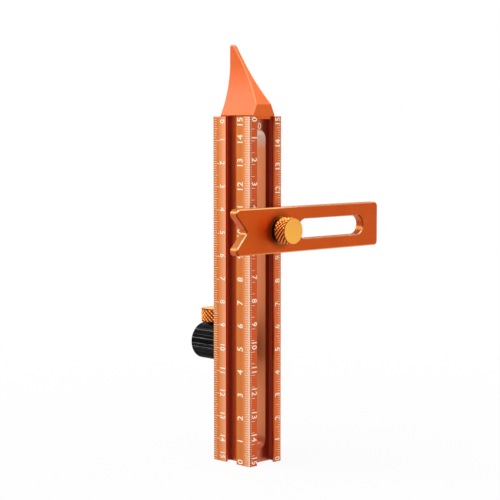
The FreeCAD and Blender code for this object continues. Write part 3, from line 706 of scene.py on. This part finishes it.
# How much of the painted ridge highlight each point of a ridge's arc gets, from flat to flat.
RIDGE_HIGHLIGHT_SHARES = (0, 0.2, 0.8, 1, 1, 0.8, 0.2, 0)
ridge_highlight_shares = np.zeros(len(tip.data.vertices))
ridged = len(tip_parts[0][0])
ridge_highlight_shares[:ridged] = np.tile(RIDGE_HIGHLIGHT_SHARES, ridged // len(RIDGE_HIGHLIGHT_SHARES))
tip.data.attributes.new("ridge_highlight", "FLOAT", "POINT").data.foreach_set("value", ridge_highlight_shares)
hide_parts("pointer_tip")


# The blade: milled aluminium plate with a bevel all round, dyed a deeper orange and anodised, with
# a thinner skin that isn't glossy. Its fine mill lines run along it. Light and shade are painted on
# it by which way a face looks. Bevels get painted shade, those that face up a painted highlight and
# those along the bottom edge a paler tone, a painted reflection of the floor. The walls get a
# darker tone, as painted shade, and a dark ring round the screw is painted shade for the knob's
# shadow and its dark reflection.
MILL_LINES_MM = (20.0, 0.3, 0.3)
LEVEL_SHARE = 0.2
DOWN_SHARE = -0.3
WALL_SHARE = 0.3
UP_SPAN = (0.1, 0.5)
LEVEL_TONING = (-2.0 * MM, 18.0 * MM)
WALL_TONING = (20.0 * MM, 30.0 * MM)
KNOB_SHADE_REACH = (9.0 * MM, 5.8 * MM)
KNOB_SHADE_STRENGTH = 0.6
# The dark bevel tone here is painted shade; bevels that face up, and level ones that face down, are
# painted over below.
blade_finish, tree, shader, colour, _ = anodised(
    "anodised_blade_orange", ("#D25A1C", "#C85018"), "#8A3612", "Y", MILL_LINES_MM, 0.38,
    (0.0, 0.2))
facing = object_axes(tree, "Normal")
place = object_axes(tree)
# Painted light by facing: level faces that look down get a paler tone, a painted reflection of the
# floor; faces that look up get a painted highlight, cream, or tan on level ones, darker along X.
level = within(tree, facing["X"], LEVEL_SHARE)
down = worked_out(tree, facing["Z"], ("LESS_THAN", DOWN_SHARE))
lower = worked_out(tree, down, ("MULTIPLY", level))
upper = share_between(tree, facing["Z"], UP_SPAN)
level_tone = laid_over(tree, "#F4B878",
                       (share_between(tree, place["X"], LEVEL_TONING), "#C47C4A"))
upper_tone = laid_over(tree, "#FFDCA4", (level, level_tone))
# The walls are painted a darker tone as shade: darker still from 20 mm to 30 mm along X, and redder
# where they face down.
wall = within(tree, facing["Y"], WALL_SHARE)
wall_tone = laid_over(tree, "#B86A34", (share_between(tree, place["X"], WALL_TONING), "#AC5626"),
                      (down, "#D05C2C"))
# A dark ring round the screw is painted on the blade: painted shade that stands for the knob's
# shadow and its dark reflection.
screw_low, screw_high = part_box("blade_thumb_screw")
off_x = worked_out(tree, place["X"], ("SUBTRACT", (screw_low.x + screw_high.x) / 2))
off_z = worked_out(tree, place["Z"], ("SUBTRACT", (screw_low.z + screw_high.z) / 2))
reach = worked_out(tree, off_x, ("MULTIPLY", off_x),
                   ("ADD", worked_out(tree, off_z, ("MULTIPLY", off_z))), ("SQRT",))
knob_shade = worked_out(tree, share_between(tree, reach, KNOB_SHADE_REACH), ("MULTIPLY", KNOB_SHADE_STRENGTH))
colour = laid_over(tree, colour, (lower, "#E8944E"), (upper, upper_tone), (wall, wall_tone),
                   (knob_shade, "#5E1C0C"))
tree.links.new(colour, shader.inputs["Base Color"])
dress("marking_blade", blade_finish)


# The two thumb screws' heads: bare brass bar turned to size, bevelled, and diamond knurled by a
# pair of wheels, which leaves pyramids between two sets of crossing 45 degree V grooves. Shade is
# painted dark down in the grooves, and on the rim at each head's outer end. The real knurl is too
# fine to show at this picture's size, so it is drawn coarser.
KNURL_STARTS = 19
KNURL_STEPS = 8
KNURL_DEPTH = 0.45 * MM
KNURL_END_DEPTH = 0.9
PYRAMID_TOP = 0.8
SECOND_WHEEL = 0.6
HEAD_BEVEL = 0.25 * MM
BEVEL_LEAD = 0.06 * MM
RIM_SINK = 0.05 * MM
RIM_ROUND = (0.15 * MM, 0.02 * MM)
HEAD_BORE_RADIUS = 2.0 * MM
HEAD_BORE_DEPTH = 3.6 * MM
KNURL_TONE = 0.3
# Tones of the rings before and after the knurl; the outer end's rim takes a dark one, as painted
# shade.
START_TONES = [0, 0, 0, 0.45]
END_TONES = [0.8, 0.55, 0]


def groove_wave(phase):
    """A triangle wave with a period of 1: 0 in a groove and 1 half-way to the next."""
    return 1 - 2 * np.abs(phase - np.floor(phase) - 0.5)


def knurled_head(base, axis, radius, length):
    """(points, faces, tones) of a turned head. With u round it and v along it, both in groove
    spacings, the surface lies under its radius by the depth times one less the smaller of two
    triangle waves, of u + v and of u - v, the second wheel pressed in less. A quad that a groove
    crosses is split along that groove. In the knurl the tone grows with how deep a point lies, and
    the rims take set tones; the brass material paints its knurl tone and its shade by it."""
    axis = np.array(axis, float)
    across = np.array([0.0, 0.0, 1.0]) if abs(axis[2]) < 0.5 else np.array([1.0, 0.0, 0.0])
    third = np.cross(axis, across)
    columns = KNURL_STARTS * KNURL_STEPS
    pitch = 2 * math.pi * radius / KNURL_STARTS
    rows = int(round((length - 2 * HEAD_BEVEL) / pitch * KNURL_STEPS))
    u = np.arange(columns) / KNURL_STEPS
    v = np.arange(rows + 1)[:, None] / KNURL_STEPS
    second = 1 - SECOND_WHEEL * (1 - groove_wave(u - v))
    peak = np.minimum(groove_wave(u + v), second)
    knurl_r = radius - KNURL_DEPTH * (1 - np.minimum(peak, PYRAMID_TOP) / PYRAMID_TOP)
    knurl_r[[0, -1]] = radius - KNURL_DEPTH * KNURL_END_DEPTH
    knurl_s = np.linspace(HEAD_BEVEL, length - HEAD_BEVEL, rows + 1)
    knurl_tone = KNURL_TONE + (1 - KNURL_TONE) * (radius - knurl_r) / KNURL_DEPTH
    rim = radius - HEAD_BEVEL
    start_r = [HEAD_BORE_RADIUS, HEAD_BORE_RADIUS, rim, radius - RIM_SINK]
    start_s = [HEAD_BORE_DEPTH, 0.0, 0.0, HEAD_BEVEL - BEVEL_LEAD]
    end_r = [radius - RIM_SINK, rim, rim - RIM_ROUND[0]]
    end_s = [length - HEAD_BEVEL + BEVEL_LEAD, length - RIM_ROUND[1], length]

    def all_round(values):
        """Each value repeated round its own ring."""
        return np.repeat(np.array(values)[:, None], columns, 1)

    tones = np.concatenate([all_round(START_TONES), knurl_tone, all_round(END_TONES)])
    r = np.concatenate([all_round(start_r), knurl_r, all_round(end_r)])[..., None]
    s = np.concatenate([all_round(start_s), all_round(knurl_s), all_round(end_s)])[..., None]
    angle = 2 * math.pi * u[:, None] / KNURL_STARTS
    points = np.array(base) + axis * s + r * (np.cos(angle) * across + np.sin(angle) * third)
    quads = grid_faces(len(r), columns)
    row, column = np.divmod(np.arange(len(quads)), columns)
    cell = row - len(start_r)
    grooved = (cell >= 0) & (cell < rows)
    crossed = (column + cell) % KNURL_STEPS == KNURL_STEPS - 1
    split = np.where(crossed[:, None, None], quads[:, [[0, 1, 3], [1, 2, 3]]],
                     quads[:, [[0, 1, 2], [0, 2, 3]]])
    faces = (quads[~grooved].tolist() + split[grooved].reshape(-1, 3).tolist()
             + end_lids(len(r), columns))
    return points.reshape(-1, 3), faces, tones.ravel()


# Bare turned brass is a warm yellow mirror, a little blurred. The knurl is painted a more orange
# tone, a painted reflection of the orange parts near it, and is a little rougher. Down in the
# grooves, and on the rim at each head's outer end, shade is painted dark.
CUT_SPAN = (0.0, KNURL_TONE)
KNURL_SHADE_SPAN = (0.48, 0.72)
BRASS_ROUGHNESS = 0.3
CUT_DULLNESS = 0.08
brass_finish, tree, shader, colour = two_tone(
    "turned_brass", "#FFBC54", "#FFB046", (0.12, 0.12, 0.12), 1.0, BRASS_ROUGHNESS, 0.002)
depth = add_node(tree, "ShaderNodeAttribute", {"attribute_name": "knurl_shade"}).outputs["Fac"]
# The knurl's orange tone is a painted reflection; its grooves and outer rim are painted dark as
# shade.
cut = share_between(tree, depth, CUT_SPAN)
knurl_shade = share_between(tree, depth, KNURL_SHADE_SPAN)
colour = laid_over(tree, colour, (cut, "#FFA04C"), (knurl_shade, "#6A240A"))
tree.links.new(colour, shader.inputs["Base Color"])
polish_and_highlight = worked_out(tree, cut, ("MULTIPLY", CUT_DULLNESS), ("ADD", BRASS_ROUGHNESS))
tree.links.new(polish_and_highlight, shader.inputs["Roughness"])
for node, axis, body in (("blade_thumb_screw", (0, -1, 0), "blade_screw"),
                         ("holder_thumb_screw", (0, 0, 1), "holder_screw")):
    low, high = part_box(node)
    middle = (low + high) / 2
    if axis[2]:
        base, length = (middle.x, middle.y, low.z), high.z - low.z
    else:
        base, length = (middle.x, high.y, middle.z), high.y - low.y
    points, faces, tones = knurled_head(base, axis, (high.x - low.x) / 2, length)
    head = smooth_piece(node + "_head", [(points, faces)], brass_finish, body, 12)
    head.data.attributes.new("knurl_shade", "FLOAT", "POINT").data.foreach_set("value", tones)
    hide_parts(node)


# The pencil holder's collar and the other black anodised turnings: nearly black, with a faint
# sheen. The collar's grip is cut with a straight wheel. A grey highlight streak is painted on the
# crests of a few of its outer ridges, by a random number to a high power for each ridge, broken up
# along the ridge by noise, and the grooves stay black.
COLLAR_RIDGES = 62
COLLAR_STREAKS_FROM = 7.8 * MM
CREST_HALF = 0.26
STREAK_BREAKUP_MM = (0.5, 5.0, 0.5)
STREAK_POWER = 5.0
COLLAR_GLOSS = 0.05
BLACK_GLOSS = 0.3
BLACK_ANODISED = ("#050506", "#030304", (0.5, 0.5, 0.5), 0.0, 0.35, 0.002)
collar_finish, tree, shader, colour = two_tone("black_anodised_knurl", *BLACK_ANODISED)
place = object_axes(tree)
low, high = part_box("holder_collar")
up = worked_out(tree, place["Z"], ("SUBTRACT", (low.z + high.z) / 2))
outside = worked_out(tree, place["X"], ("MULTIPLY", place["X"]),
                     ("ADD", worked_out(tree, up, ("MULTIPLY", up))), ("SQRT",),
                     ("GREATER_THAN", COLLAR_STREAKS_FROM))
turn = worked_out(tree, place["X"], ("ARCTAN2", up), ("MULTIPLY", COLLAR_RIDGES / (2 * math.pi)))
ridge = worked_out(tree, turn, ("ROUND",))
crest = worked_out(tree, turn, ("SUBTRACT", ridge), ("ABSOLUTE",), ("LESS_THAN", CREST_HALF))
chance = add_node(tree, "ShaderNodeTexWhiteNoise", {"noise_dimensions": "1D", "W": ridge})
streak_breakup = noise_between(tree, object_noise(tree, STREAK_BREAKUP_MM), 0.2, 1.0)
# The painted grey highlight streaks on the crests of a few outer ridges.
polish_and_highlight = worked_out(tree, chance.outputs["Value"], ("POWER", STREAK_POWER), ("MULTIPLY", streak_breakup),
                    ("MULTIPLY", outside), ("MULTIPLY", crest))
tree.links.new(laid_over(tree, colour, (polish_and_highlight, "#B4B0AC")), shader.inputs["Base Color"])
shader.inputs["Specular IOR Level"].default_value = COLLAR_GLOSS
dress("holder_collar", collar_finish)

black_finish, _, shader, _ = two_tone("black_anodised", *BLACK_ANODISED)
shader.inputs["Specular IOR Level"].default_value = BLACK_GLOSS
for node in ("blade_standoff", "holder_tee_sleeve"):
    dress(node, black_finish)


# Bought parts: studs and grub screw of blackened steel, dark with a soft metal shine; a T-nut of
# zinc plated steel, pale grey and satin; a turned brass washer; nylon washers and clamp pad,
# moulded matt black; and the magnet in the foot, nickel plated and bright.
BOUGHT = (
    ("black_oxide_steel", ("#2A2A2C", "#18181A", (1.5, 1.5, 1.5), 1.0, 0.38, 0.002),
     ("tip_grub_screw", "blade_screw_stud")),
    ("turned_brass_washer", ("#A87030", "#8C5A26", (0.15, 0.15, 0.15), 1.0, 0.32, 0.002),
     ("blade_flat_washer",)),
    ("zinc_plated_steel", ("#C8C6BE", "#A8A69A", (2.0, 2.0, 2.0), 1.0, 0.4, 0.003),
     ("blade_tee_nut",)),
    ("moulded_black_nylon", ("#1A1A1B", "#121213", (0.2, 0.2, 0.2), 0.0, 0.55, 0.008),
     ("blade_friction_washer", "holder_flat_washer", "holder_clamp_pad")),
    ("nickel_plated_magnet", ("#D8D2C6", "#C6BEB0", (0.6, 0.6, 0.6), 1.0, 0.2, 0.001),
     ("base_magnet",)),
)
for name, look, nodes in BOUGHT:
    finish = two_tone(name, *look)[0]
    for node in nodes:
        dress(node, finish)

# The holder's stud shows its rolled thread: a ridge that climbs one pitch in a turn.
STUD_PITCH = 0.7 * MM
stud_finish, tree, shader, _ = two_tone(
    "black_oxide_thread", "#343436", "#202022", (1.0, 1.0, 0.3), 1.0, 0.34, 0.002)
low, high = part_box("holder_screw_stud")
place = object_axes(tree)
off_y = worked_out(tree, place["Y"], ("SUBTRACT", (low.y + high.y) / 2))
turn = worked_out(tree, off_y, ("ARCTAN2", place["X"]), ("DIVIDE", 2 * math.pi))
helix = worked_out(tree, place["Z"], ("DIVIDE", STUD_PITCH), ("ADD", turn), ("PINGPONG", 0.5))
thread = add_node(tree, "ShaderNodeBump",
                  {"Strength": 1.0, "Distance": STUD_PITCH, "Height": helix})
tree.links.new(thread.outputs[0], shader.inputs["Normal"])
dress("holder_screw_stud", stud_finish)

low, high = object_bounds()
